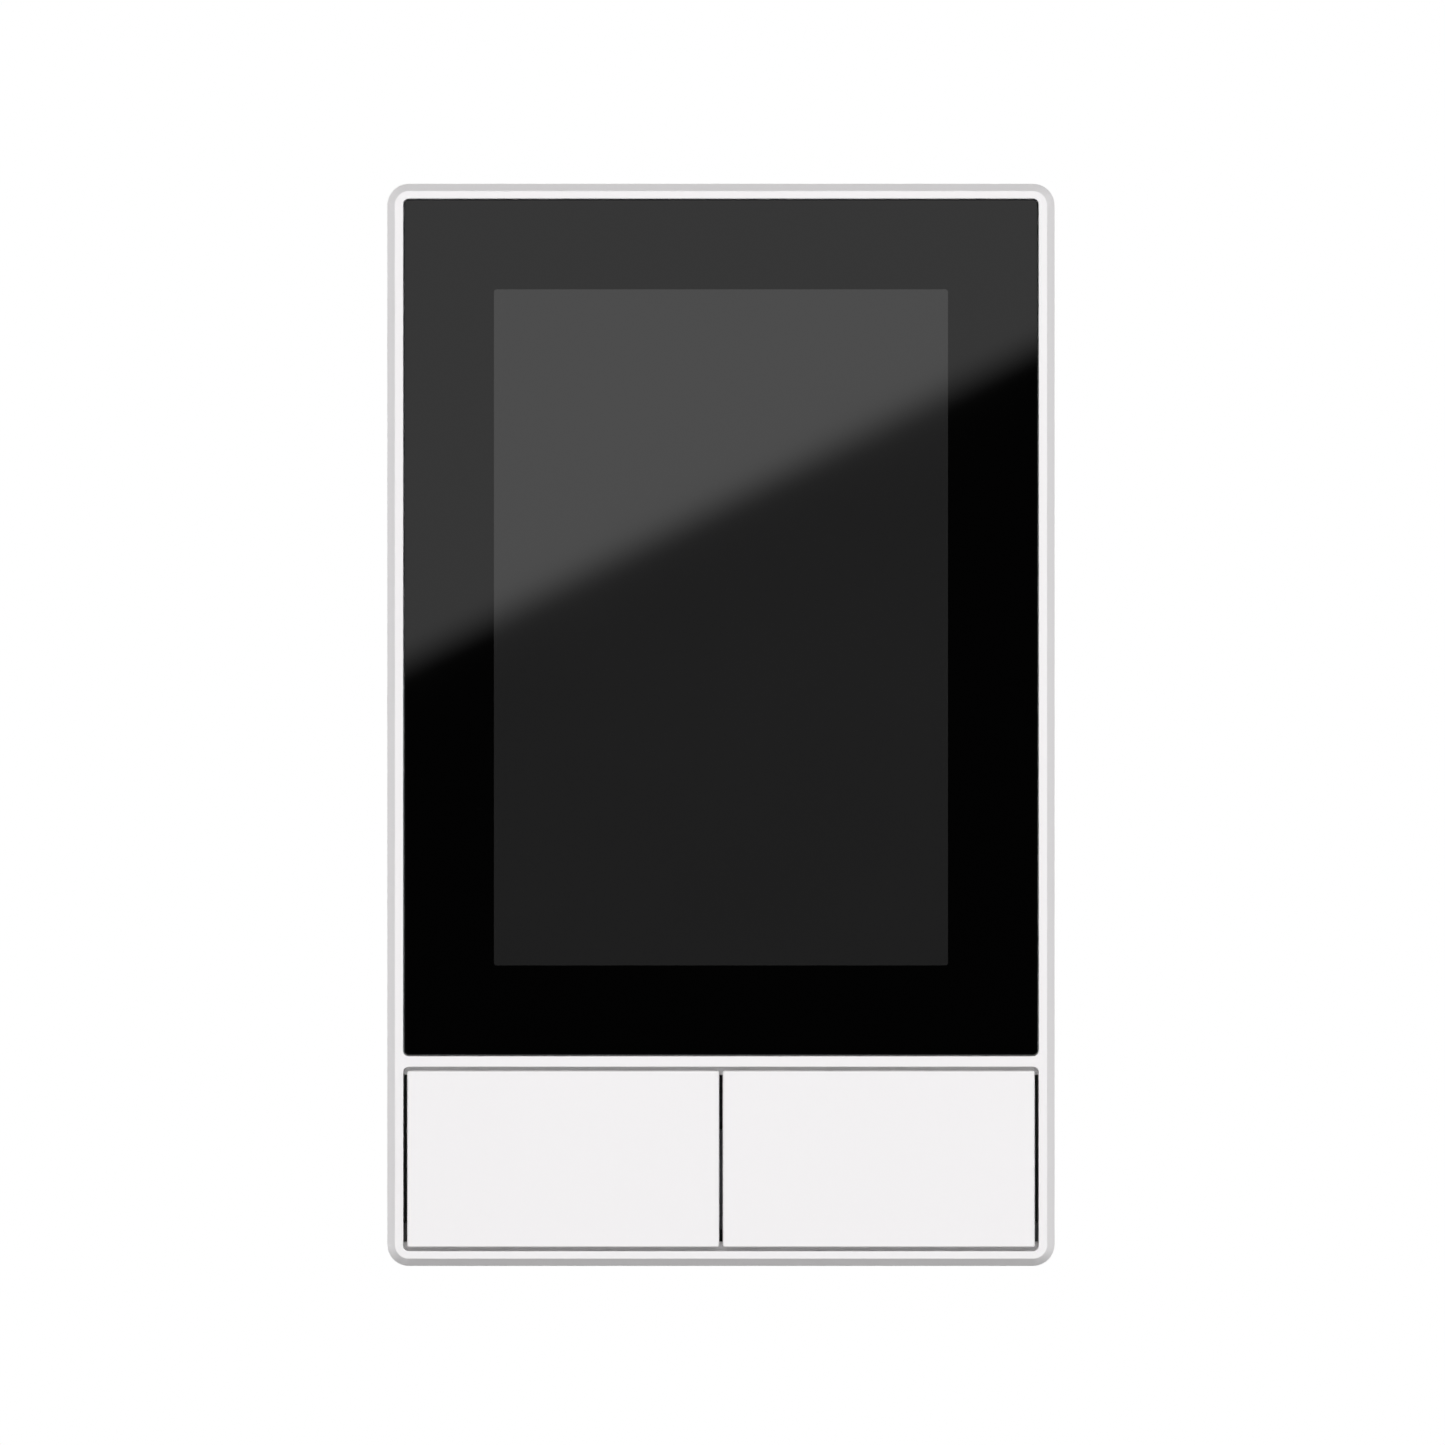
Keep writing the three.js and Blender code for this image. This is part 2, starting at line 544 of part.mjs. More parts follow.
function powerLid() {
  const range = [MODULE.front, MODULE.front + MODULE.lid];
  const sheet = plate(MODULE.width, MODULE.height, MODULE.corner, range);
  const lipRange = [range[1] - 0.2, range[1] + 1.6];
  const inner = [MODULE.width - 2 * MODULE.wall - 0.4, MODULE.height - 2 * MODULE.wall - 0.4];
  const lip = cut(plate(...inner, 0.8, lipRange), plate(inner[0] - 2.4, inner[1] - 2.4, 0.5, [0, 9]));
  const plugWindow = box(about(0, 12.4), [-1, 9], about(PLUG_Z, 7));
  const screwPosts = moduleScrews.map(([x, z]) =>
    round(1.9, 'y', [range[1] - 0.2, POWER_BOARD.front - TOUCH_GAP], [x, 0, z], 16));
  // Catches on the lip click into windows in the case's long walls.
  const catches = [-1, 1].flatMap((side) => [-CATCH.z, CATCH.z].map((z) =>
    box(about(side * (inner[0] / 2 + 0.1), 1), [range[1] + 0.8, range[1] + 1.5], about(z, CATCH.width))));
  const pilot = moduleScrews.map(([x, z]) => round(0.95, 'y', [-1, 9], [x, 0, z], 12));
  const vents = [];
  for (let i = 0; i < 6; i++) vents.push(plate(18, 1.4, 0.6, [-1, range[1] + 1], { z: 19 - i * 3.2 }));
  return cut(join(sheet, lip, ...screwPosts, ...catches), plugWindow, ...pilot, ...vents);
}

const blockWidth = TERMINAL.pitch * TERMINAL.count + 1.6;
const blockTop = TERMINAL.z + 5.8;
const blockBottom = -MODULE.height / 2 + 0.2;

function powerCase() {
  const { width, height, wall, corner, rear, front, lid } = MODULE;
  const start = front + lid + TOUCH_GAP;
  const shell = carried(roundedRectangle(width, height, corner), [-rear, -start], [1.2, 1.2])
    .rotate([0, 0, 180]); // the chamfer goes round the rear edge
  const hollow = plate(width - 2 * wall, height - 2 * wall, 1, [start - 1, rear - wall]);
  const catchWindows = [-1, 1].flatMap((side) => [-CATCH.z, CATCH.z].map((z) =>
    box(about(side * width / 2, 5), [start + 0.65, start + 1.65], about(z, CATCH.width + 0.4))));
  const terminalGap = box(about(0, blockWidth + 0.3), [powerRear - 0.1, rear + 1],
    [-height / 2 - 1, blockTop + 0.15]);
  const vents = [];
  for (let i = 0; i < 5; i++) {
    for (const side of [-1, 1]) {
      vents.push(box(about(side * width / 2, 5), [10, 20], about(20 - i * 4, 1.6)));
      vents.push(plate(12, 1.6, 0.7, [rear - 4, rear + 1], { x: side * 9.5, z: 22 - i * 4 }));
    }
  }
  // Guide ribs along both sides locate the board.
  const rails = [-1, 1].map((side) => box(about(side * (width / 2 - wall - 0.2), 0.8),
    [powerRear + TOUCH_GAP, 11], about(8, 12)));
  return join(cut(shell, hollow, terminalGap, ...catchWindows, ...vents), ...rails);
}

function powerBoard() {
  const sheet = plate(POWER_BOARD.width, POWER_BOARD.height, 0.5, [POWER_BOARD.front, powerRear]);
  // An isolation slot keeps mains and low voltage apart.
  const isolation = plate(22, 1.2, 0.55, [0, 9], { x: -6, z: -13.4 });
  return cut(sheet, isolation);
}

const onPowerBoard = powerRear + TOUCH_GAP;

function relay() {
  return plate(10.2, 19, 0.8, [0, 15.2]).subtract(plate(7.6, 16.4, 0.6, [14.9, 16]));
}

// Ferrite core of the transformer: a frame open at the sides, with a middle leg that runs along Y.
function transformerCore() {
  const outside = box(about(0, 11), [0, 12.6], about(0, 14));
  const openings = box(about(0, 15), [2, 10.6], about(0, 10.6));
  return join(cut(outside, openings), round(2.2, 'y', [1, 11.6]));
}

// The winding, a ring round the middle leg.
function transformerCoil() {
  return cut(round(5.1, 'y', [2.1, 10.5], [0, 0, 0], 24), round(2.4, 'y', [0, 12]));
}

function canCapacitor(radius, height) {
  const made = turned([[0, 0], [radius - 0.3, 0], [radius, 0.4], [radius, 1.2], [radius - 0.35, 1.6],
    [radius, 2], [radius, height - 0.4], [radius - 0.4, height], [0, height]], 24);
  const vent = [0, 90].map((turn) => box(about(0, radius * 1.3), [height - 0.15, height + 1], about(0, 0.25))
    .rotate([0, turn, 0]));
  return cut(made, ...vent);
}

function filmCapacitor() {
  return plate(13, 6, 0.5, [0, 11]);
}

function varistorDisc() {
  const disc = round(4.6, 'x', about(0, 3.4), [0, 6.6, 0], 24);
  const leads = [-2.5, 2.5].map((z) => box(about(0, 0.7), [0, 4.5], about(z, 0.7)));
  return join(disc, ...leads);
}

// ---------- wall unit: terminals ----------

const cellX = (k) => (k - (TERMINAL.count - 1) / 2) * TERMINAL.pitch;
const CAGE = { width: 6.6, depth: 6, wall: 1.1, floor: 15.5, ceiling: 22.6, threaded: 1.6, rise: 2.8 };
const TAB = { y: [19.6, 20.6], width: 4 };
const headSeat = CAGE.ceiling + CAGE.threaded + CAGE.rise + 0.05; // just clear of the raised cage

function terminalBlock() {
  const { rear } = TERMINAL;
  // Its lower rear edge is cut back in line with the case's chamfer.
  const body = box(about(0, blockWidth), [onPowerBoard, rear], [blockBottom, blockTop])
    .trimByPlane([0, -1, 1], (blockBottom - rear + 1) * Math.SQRT1_2);
  const tools = [];
  for (let k = 0; k < TERMINAL.count; k++) {
    const x = cellX(k);
    tools.push(box(about(x, TERMINAL.cell), [CAGE.floor - 0.6, TERMINAL.ceiling], [-30.2, blockTop + 1]));
    tools.push(box(about(x, 3.8), about(18, 3.6), [blockBottom - 1, -29]));
    tools.push(round(TERMINAL.access, 'y', [TERMINAL.ceiling - 1, rear + 1], [x, 0, TERMINAL.z]));
  }
  // Grooves between the ways lengthen the path between live parts.
  for (let k = 1; k < TERMINAL.count; k++) {
    const x = (cellX(k) + cellX(k - 1)) / 2;
    tools.push(box(about(x, 0.9), [rear - 1.2, rear + 1], [blockBottom - 1, blockTop + 1]));
    tools.push(box(about(x, 0.9), [onPowerBoard + 4, rear + 1], [blockBottom - 1, blockBottom + 0.8]));
  }
  return cut(body, ...tools);
}

function terminalTab() {
  const [y0, y1] = TAB.y;
  const flat = box(about(0, TAB.width), [y0, y1], [-28.4, blockTop + 1.2]);
  const leg = box(about(0, TAB.width), [powerRear + TOUCH_GAP, y1], [blockTop + 0.2, blockTop + 1.2]);
  return join(flat, leg);
}

// The screw turns in place, head towards +Y, drawn about its own axis.
function terminalScrew() {
  const { head, shaft, headHeight } = TERMINAL;
  const made = turned([[0, TAB.y[1] + 0.05], [shaft, TAB.y[1] + 0.05], [shaft, headSeat], [head, headSeat],
    [head, headSeat + headHeight - 0.4], [head - 0.35, headSeat + headHeight], [0, headSeat + headHeight]]);
  const drive = [[head * 2 + 1, 0.8], [0.8, head * 1.3]].map(([x, z]) =>
    box(about(0, x), [headSeat + 0.9, headSeat + 3], about(0, z)));
  return cut(made, ...drive);
}

// The cage climbs the screw and grips the wire between its floor and the tab.
function terminalCage() {
  const { width, depth, wall, floor, ceiling, threaded } = CAGE;
  const outside = box(about(0, width), [floor, ceiling + threaded], about(0, depth));
  const window = box(about(0, width - 2 * wall), [floor + wall, ceiling], about(0, depth + 2));
  const thread = round(TERMINAL.shaft + 0.1, 'y', [ceiling - 1, ceiling + threaded + 1]);
  return cut(outside, window, thread);
}

// ---------- assembly ----------

const display = group(
  piece('cover_glass', coverGlass(), blackGlass),
  piece('glass_adhesive', glassAdhesive(), tape),
  piece('lcd_panel', lcdPanel(), displayGlass),
  piece('light_guide', lightGuideSheet(), lightGuide),
  piece('lcd_tray', lcdTray(), steel),
  piece('display_flex', flexLoop(panelFront + 1.1, -PANEL.height / 2 - 0.05, -30, 0.16, 22), amberFilm,
    [-6, 0, 0]),
  piece('touch_flex', flexLoop(glassRear + 0.12, -PANEL.height / 2 - 0.1, -30, 0.12, 8), amberFilm,
    [18, 0, 0]),
);
display.position.z = glassZ;

const boardFrontFace = BOARD.front - TOUCH_GAP;
const electronics = group(
  piece('main_board', mainBoard(), blackBoard),
  piece('display_connector', box(about(-6, 24), [boardFrontFace - 1, boardFrontFace], about(-19, 3.6)),
    connectorIvory),
  piece('touch_connector', box(about(18, 9), [boardFrontFace - 1, boardFrontFace], about(-19, 3.6)),
    connectorIvory),
  piece('radio_module', radioModule(), tinned, [0, 0, 8]),
  piece('processor_chip', plate(10, 10, 0.4, [boardRear + TOUCH_GAP, boardRear + 1]), chip, [-12.6, 0, -10]),
  piece('microphone', plate(3.8, 3, 0.3, [boardFrontFace - 1.1, boardFrontFace]), tinned, [26, 0, -53]),
  piece('speaker', speakerBody(), greyPlastic, [0, 0, -50.5]),
  piece('board_socket', boardSocket(), darkPlastic, [0, 0, PLUG_Z]),
);

const keypad = group(
  piece('left_key_rod', pivotRod(), steel, [-rodX, 0, 0]),
  piece('right_key_rod', pivotRod(), steel, [rodX, 0, 0]),
  piece('left_key', keyCap(), whiteKey, [-keyX, 0, 0]),
  piece('right_key', keyCap(), whiteKey, [keyX, 0, 0]),
);
keypad.position.set(0, HINGE.y, hingeZ);

const switches = group(
  piece('left_switch_body', switchBody(), darkPlastic, [-keyX, 0, 0]),
  piece('right_switch_body', switchBody(), darkPlastic, [keyX, 0, 0]),
  piece('left_switch_plunger', switchPlunger(), connectorIvory, [-keyX, 0, 0]),
  piece('right_switch_plunger', switchPlunger(), connectorIvory, [keyX, 0, 0]),
);
switches.position.z = hingeZ - SWITCH.below;

const frontUnit = group(
  piece('front_bezel', frontBezel(), whitePlastic),
  display,
  electronics,
  keypad,
  switches,
  piece('rear_cover', rearCover(), darkPlastic),
  ...coverScrews.map(([x, z], i) =>
    piece(`cover_screw_${i + 1}`, smallScrew(0.75, 1.9, 0.65, 4.6), steel, [x, COVER.rear - 0.68, z])),
);

const components = group(
  piece('relay_1', relay(), relayBlue, [-14, 0, -1]),
  piece('relay_2', relay(), relayBlue, [-3.2, 0, -1]),
  piece('transformer_core', transformerCore(), ferrite, [12.4, 0, 17]),
  piece('transformer_coil', transformerCoil(), windingYellow, [12.4, 0, 17]),
  piece('filter_capacitor', canCapacitor(4, 11.5), capSleeve, [-0.8, 0, 16.6]),
  piece('film_capacitor', filmCapacitor(), filmYellow, [10, 0, -4.6]),
  piece('varistor', varistorDisc(), varistorBlue, [-11.4, 0, 17]),
);
components.position.y = onPowerBoard;

const terminals = [...Array(TERMINAL.count).keys()].map((k) => {
  const way = group(
    piece(`terminal_tab_${k + 1}`, terminalTab(), tinned),
    piece(`terminal_screw_${k + 1}`, terminalScrew(), zinc, [0, 0, TERMINAL.z]),
    piece(`terminal_cage_${k + 1}`, terminalCage(), brass, [0, 0, TERMINAL.z]),
  );
  way.position.x = cellX(k);
  return way;
});

const wallUnit = group(
  piece('mount_frame', mountFrame(), innerWhite),
  piece('upper_wall_screw', wallScrew(), zinc, [0, -FRAME.web - TOUCH_GAP, BOX_SCREWS / 2]),
  piece('lower_wall_screw', wallScrew(), zinc, [0, -FRAME.web - TOUCH_GAP, -BOX_SCREWS / 2]),
  ...moduleScrews.map(([x, z], i) => {
    const screw = piece(`module_screw_${i + 1}`, smallScrew(0.9, 2.2, 0.75, 5), zinc, [x, -0.84, z]);
    screw.rotation.z = Math.PI; // head towards the room
    return screw;
  }),
  piece('power_lid', powerLid(), innerWhite),
  piece('power_case', powerCase(), innerWhite),
  piece('power_board', powerBoard(), greenBoard),
  piece('board_plug', boardPlug(), darkPlastic, [0, 0, PLUG_Z]),
  components,
  piece('terminal_block', terminalBlock(), greyPlastic),
  ...terminals,
);

export default group(frontUnit, wallUnit);
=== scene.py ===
import json
import math

import bmesh
import bpy
import numpy as np
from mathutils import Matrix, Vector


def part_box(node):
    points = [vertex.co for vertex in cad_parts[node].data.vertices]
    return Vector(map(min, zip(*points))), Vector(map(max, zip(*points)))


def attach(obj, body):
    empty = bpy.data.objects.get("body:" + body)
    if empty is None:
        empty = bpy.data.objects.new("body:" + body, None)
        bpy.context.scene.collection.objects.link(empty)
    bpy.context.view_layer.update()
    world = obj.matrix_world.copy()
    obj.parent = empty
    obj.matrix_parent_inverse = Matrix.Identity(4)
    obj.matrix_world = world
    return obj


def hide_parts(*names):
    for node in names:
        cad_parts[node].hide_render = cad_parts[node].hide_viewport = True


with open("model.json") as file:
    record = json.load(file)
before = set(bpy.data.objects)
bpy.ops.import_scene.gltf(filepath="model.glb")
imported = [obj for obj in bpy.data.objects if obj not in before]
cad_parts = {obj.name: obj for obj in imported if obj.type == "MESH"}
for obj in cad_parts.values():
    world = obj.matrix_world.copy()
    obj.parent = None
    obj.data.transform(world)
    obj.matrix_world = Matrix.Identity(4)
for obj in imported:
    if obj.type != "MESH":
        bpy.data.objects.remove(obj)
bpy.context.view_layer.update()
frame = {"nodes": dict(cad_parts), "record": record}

mm = 0.001
scene = bpy.context.scene
nodes = frame["nodes"]
print("frame: %d nodes" % len(nodes))


# How far apart two CAD planes are is read from the nodes, so the looks follow the design.
glassLow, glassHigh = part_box("cover_glass")
bezelLow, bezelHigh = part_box("front_bezel")
faceY = bezelLow.y
middleZ = (bezelLow.z + bezelHigh.z) / 2


camera = {
    "distance": 1.5,         # from the panel's face to the lens
    "span": 160.1 * mm,      # width of the picture at the face
    "aside": 0.17 * mm,      # the panel sits a hair off the middle
    "above": 0.26 * mm,
    "sensor": 36.0,
}

lights = {
    "front": {"power": 26.2, "size": (1.1, 1.1), "at": (0.05, -1.5, 0.15)},
    "left": {"power": 9.4, "size": (0.5, 0.9), "at": (-1.2, 0.75, 0.1)},
    "right": {"power": 9.2, "size": (0.5, 0.9), "at": (1.2, 0.75, 0.1)},
    "above": {"power": 3.5, "size": (0.9, 0.5), "at": (0.0, 0.9, 1.1)},
    "behind": {"power": 2.2, "size": (1.4, 1.4), "at": (-0.7, 1.5, 0.8)},
}

card = {
    "radiance": 0.92,        # of the bright sheet that the glass mirrors
    "slope": 26.6,           # degrees its lower edge climbs towards the right
    "height": 43.4 * mm,     # of that edge above the panel's middle, straight in front of it
    "soft": 5.0 * mm,        # the edge fades over this much
    "size": 1.4,
}

floor = {
    "below": 250 * mm,       # the panel's lower edge
    "radius": 1.7,
    "colour": (0.93, 0.93, 0.925),
    "fade": (0.12, 0.6),     # shares of the radius between which it turns white
    "rings": 24,
    "around": 96,
}


def makeCamera():
    data = bpy.data.cameras.new("camera")
    data.sensor_width = camera["sensor"]
    data.lens = camera["sensor"] * camera["distance"] / camera["span"]
    data.clip_start = 0.01
    data.clip_end = 50
    rig = bpy.data.objects.new("camera", data)
    rig.location = (camera["aside"], faceY - camera["distance"], middleZ + camera["above"])
    rig.rotation_euler = (math.radians(90), 0, 0)
    scene.collection.objects.link(rig)
    scene.camera = rig


def makeLights():
    for name, light in lights.items():
        data = bpy.data.lights.new(name, "AREA")
        data.shape = "RECTANGLE"
        data.size, data.size_y = light["size"]
        data.energy = light["power"]
        lamp = bpy.data.objects.new(name + "_light", data)
        lamp.location = light["at"]
        aim = -lamp.location
        lamp.rotation_euler = aim.to_track_quat("-Z", "Y").to_euler()
        lamp.visible_glossy = name == "behind"  # the glass mirrors the bright sheet instead
        lamp.visible_camera = False
        scene.collection.objects.link(lamp)


studio = {
    "colour": (1.0, 0.995, 0.99),
    "rise": (-0.9, 0.6),     # Y of the direction between which the dim light climbs, front to back
    "dim": 0.2,
    "wall": (0.5, 0.95),     # and polished metal mirrors a bright wall between these
    "bright": 1.0,
}


# White to the lens. All else sees a dim studio, dark in front and lighter towards the back.
def makeWorld():
    world = bpy.data.worlds.new("studio")
    world.use_nodes = True
    scene.world = world
    tree = world.node_tree
    tree.nodes.clear()
    coordinate = tree.nodes.new("ShaderNodeTexCoord")
    split = tree.nodes.new("ShaderNodeSeparateXYZ")
    tree.links.new(coordinate.outputs["Generated"], split.inputs[0])
    side = tree.nodes.new("ShaderNodeMapRange")
    side.inputs["From Min"].default_value, side.inputs["From Max"].default_value = studio["rise"]
    side.inputs["To Max"].default_value = studio["dim"]
    tree.links.new(split.outputs["Y"], side.inputs["Value"])
    path = tree.nodes.new("ShaderNodeLightPath")
    gleam = tree.nodes.new("ShaderNodeMapRange")
    gleam.inputs["From Min"].default_value, gleam.inputs["From Max"].default_value = studio["wall"]
    gleam.inputs["To Max"].default_value = studio["bright"]
    tree.links.new(split.outputs["Y"], gleam.inputs["Value"])
    mirrored = tree.nodes.new("ShaderNodeMath")
    mirrored.operation = "MULTIPLY_ADD"
    tree.links.new(gleam.outputs[0], mirrored.inputs[0])
    tree.links.new(path.outputs["Is Glossy Ray"], mirrored.inputs[1])
    tree.links.new(side.outputs[0], mirrored.inputs[2])
    dim = tree.nodes.new("ShaderNodeBackground")
    dim.inputs["Color"].default_value = (*studio["colour"], 1)
    tree.links.new(mirrored.outputs[0], dim.inputs["Strength"])
    bright = tree.nodes.new("ShaderNodeBackground")
    bright.inputs["Color"].default_value = (1, 1, 1, 1)
    mix = tree.nodes.new("ShaderNodeMixShader")
    tree.links.new(path.outputs["Is Camera Ray"], mix.inputs["Fac"])
    tree.links.new(dim.outputs[0], mix.inputs[1])
    tree.links.new(bright.outputs[0], mix.inputs[2])
    out = tree.nodes.new("ShaderNodeOutputWorld")
    tree.links.new(mix.outputs[0], out.inputs["Surface"])


# A bright sheet beside the lens, seen only in reflections. Its lower edge crosses the glass as a slope.
def makeCard():
    half = card["size"] / 2
    mesh = bpy.data.meshes.new("reflector_card")
    mesh.from_pydata([(-half, 0, 0), (half, 0, 0), (half, 0, half), (-half, 0, half)], [], [(0, 1, 2, 3)])
    sheet = bpy.data.objects.new("reflector_card", mesh)
    sheet.location = (0, faceY - camera["distance"], middleZ + card["height"])
    sheet.rotation_euler = (0, -math.radians(card["slope"]), 0)
    material = bpy.data.materials.new("bright_sheet")
    material.use_nodes = True
    tree = material.node_tree
    tree.nodes.clear()
    coordinate = tree.nodes.new("ShaderNodeTexCoord")
    split = tree.nodes.new("ShaderNodeSeparateXYZ")
    fade = tree.nodes.new("ShaderNodeMapRange")
    fade.interpolation_type = "SMOOTHSTEP"
    fade.inputs["From Min"].default_value = 0.0
    fade.inputs["From Max"].default_value = 2 * card["soft"]
    fade.inputs["To Max"].default_value = card["radiance"]
    glow = tree.nodes.new("ShaderNodeEmission")
    out = tree.nodes.new("ShaderNodeOutputMaterial")
    tree.links.new(coordinate.outputs["Object"], split.inputs[0])
    tree.links.new(split.outputs["Z"], fade.inputs["Value"])
    tree.links.new(fade.outputs[0], glow.inputs["Strength"])
    tree.links.new(glow.outputs[0], out.inputs["Surface"])
    mesh.materials.append(material)
    sheet.visible_camera = False
    sheet.visible_diffuse = False
    sheet.visible_shadow = False
    sheet.visible_transmission = False
    scene.collection.objects.link(sheet)


# A round pale floor well below the panel, whose rim fades into the white round it.
def makeFloor():
    count = floor["around"]
    rings = np.linspace(0, 1, floor["rings"])[:, None] * floor["radius"]
    turn = np.linspace(0, 2 * math.pi, count + 1)[None, :-1]
    x, y = rings * np.cos(turn), rings * np.sin(turn)
    points = np.stack([x, y, np.full_like(x, bezelLow.z - floor["below"])], axis=-1).reshape(-1, 3)
    ring, step = np.meshgrid(np.arange(floor["rings"] - 1), np.arange(count), indexing="ij")
    after = (step + 1) % count
    quads = np.stack([ring * count + step, (ring + 1) * count + step,
                      (ring + 1) * count + after, ring * count + after], axis=-1).reshape(-1, 4)
    mesh = bpy.data.meshes.new("floor")
    mesh.from_pydata(points.tolist(), [], quads.tolist())
    ground = bpy.data.objects.new("floor", mesh)
    material = bpy.data.materials.new("pale_floor")
    material.use_nodes = True
    tree = material.node_tree
    shader = tree.nodes["Principled BSDF"]
    shader.inputs["Base Color"].default_value = (*floor["colour"], 1)
    shader.inputs["Roughness"].default_value = 0.7
    shader.inputs["Specular IOR Level"].default_value = 0.2
    coordinate = tree.nodes.new("ShaderNodeTexCoord")
    flat = tree.nodes.new("ShaderNodeVectorMath")
    flat.operation = "MULTIPLY"
    flat.inputs[1].default_value = (1, 1, 0)
    length = tree.nodes.new("ShaderNodeVectorMath")
    length.operation = "LENGTH"
    fade = tree.nodes.new("ShaderNodeMapRange")
    fade.interpolation_type = "SMOOTHSTEP"
    fade.inputs["From Min"].default_value = floor["fade"][0] * floor["radius"]
    fade.inputs["From Max"].default_value = floor["fade"][1] * floor["radius"]
    white = tree.nodes.new("ShaderNodeEmission")
    white.inputs["Strength"].default_value = 1.0
    mix = tree.nodes.new("ShaderNodeMixShader")
    tree.links.new(coordinate.outputs["Object"], flat.inputs[0])
    tree.links.new(flat.outputs[0], length.inputs[0])
    tree.links.new(length.outputs["Value"], fade.inputs["Value"])
    tree.links.new(fade.outputs[0], mix.inputs["Fac"])
    tree.links.new(shader.outputs[0], mix.inputs[1])
    tree.links.new(white.outputs[0], mix.inputs[2])
    tree.links.new(mix.outputs[0], tree.nodes["Material Output"].inputs["Surface"])
    mesh.materials.append(material)
    ground.visible_diffuse = False
    scene.collection.objects.link(ground)


scene.view_settings.view_transform = "Standard"
scene.view_settings.look = "None"
makeCamera()
makeWorld()
makeLights()
makeCard()
makeFloor()
print("studio: camera, %d lights, mirror sheet, floor" % len(lights))


# A material whose shader's plain numbers are set on its own sockets; patterns are added by the callers.
def newMaterial(name, look):
    material = bpy.data.materials.new(name)
    material.use_nodes = True
    material.diffuse_color = (*look["colour"], 1)
    tree = material.node_tree
    shader = tree.nodes["Principled BSDF"]
    shader.inputs["Base Color"].default_value = (*look["colour"], 1)
    shader.inputs["Roughness"].default_value = look["roughness"]
    shader.inputs["Metallic"].default_value = look.get("metallic", 0.0)
    shader.inputs["Coat Weight"].default_value = look.get("coat", 0.0)
    shader.inputs["Coat Roughness"].default_value = look.get("coatRoughness", 0.05)
    return material, tree, shader


# Object coordinates, turned and stretched.
def place(tree, scale=(1, 1, 1), turn=(0, 0, 0)):
    coordinate = tree.nodes.new("ShaderNodeTexCoord")
    mapping = tree.nodes.new("ShaderNodeMapping")
    mapping.inputs["Rotation"].default_value = [math.radians(angle) for angle in turn]
    mapping.inputs["Scale"].default_value = scale
    tree.links.new(coordinate.outputs["Object"], mapping.inputs["Vector"])
    return mapping.outputs[0]


# Noise whose grain is about one size across, given in metres.
def noise(tree, vector, size, detail=2.0):
    texture = tree.nodes.new("ShaderNodeTexNoise")
    texture.inputs["Scale"].default_value = 1 / size
    texture.inputs["Detail"].default_value = detail
    tree.links.new(vector, texture.inputs["Vector"])
    return texture.outputs["Fac"]


# Round cells about one size apart: the distance to the nearest cell's middle, 0 to about 0.7.
def cells(tree, vector, size, scatter=1.0):
    texture = tree.nodes.new("ShaderNodeTexVoronoi")
    texture.inputs["Scale"].default_value = 1 / size
    texture.inputs["Randomness"].default_value = scatter
    tree.links.new(vector, texture.inputs["Vector"])
    return texture.outputs["Distance"]


# Even stripes across X of the vector given, one dark and one light in each pitch. The texture's wave turns
# twenty times its scale in radians for each metre, so a whole turn in one pitch asks for pi over ten pitches.
def stripes(tree, vector, pitch, wander=0.0):
    texture = tree.nodes.new("ShaderNodeTexWave")
    texture.inputs["Scale"].default_value = math.pi / (10 * pitch)
    texture.inputs["Distortion"].default_value = wander
    texture.inputs["Detail"].default_value = 0
    tree.links.new(vector, texture.inputs["Vector"])
    return texture.outputs["Fac"]


def remap(tree, value, low, high, toLow, toHigh):
    node = tree.nodes.new("ShaderNodeMapRange")
    node.inputs["From Min"].default_value = low
    node.inputs["From Max"].default_value = high
    node.inputs["To Min"].default_value = toLow
    node.inputs["To Max"].default_value = toHigh
    tree.links.new(value, node.inputs["Value"])
    return node.outputs[0]


# Noise keeps to the middle of 0 to 1: this spreads that middle over the values given.
def spread(tree, value, toLow, toHigh):
    return remap(tree, value, 0.3, 0.7, toLow, toHigh)


def combine(tree, operation, first, second):
    node = tree.nodes.new("ShaderNodeMath")
    node.operation = operation
    for socket, value in zip(node.inputs, (first, second)):
        if isinstance(value, (int, float)):
            socket.default_value = value
        else:
            tree.links.new(value, socket)
    return node.outputs[0]


# A colour between two, by a factor.
def blend(tree, factor, first, second):
    node = tree.nodes.new("ShaderNodeMix")
    node.data_type = "RGBA"
    tree.links.new(factor, node.inputs["Factor"])
    for socket, colour in ((node.inputs["A"], first), (node.inputs["B"], second)):
        if isinstance(colour, tuple):
            socket.default_value = (*colour, 1)
        else:
            tree.links.new(colour, socket)
    return node.outputs["Result"]


# The base colour runs from one colour to another by a factor.
def tint(tree, shader, factor, first, second):
    tree.links.new(blend(tree, factor, first, second), shader.inputs["Base Color"])


def gloss(tree, shader, roughness):
    tree.links.new(roughness, shader.inputs["Roughness"])


def emboss(tree, shader, height, depth):
    bump = tree.nodes.new("ShaderNodeBump")
    bump.inputs["Distance"].default_value = depth
    tree.links.new(height, bump.inputs["Height"])
    tree.links.new(bump.outputs[0], shader.inputs["Normal"])


def darker(colour, share):
    return tuple(channel * (1 - share) for channel in colour)


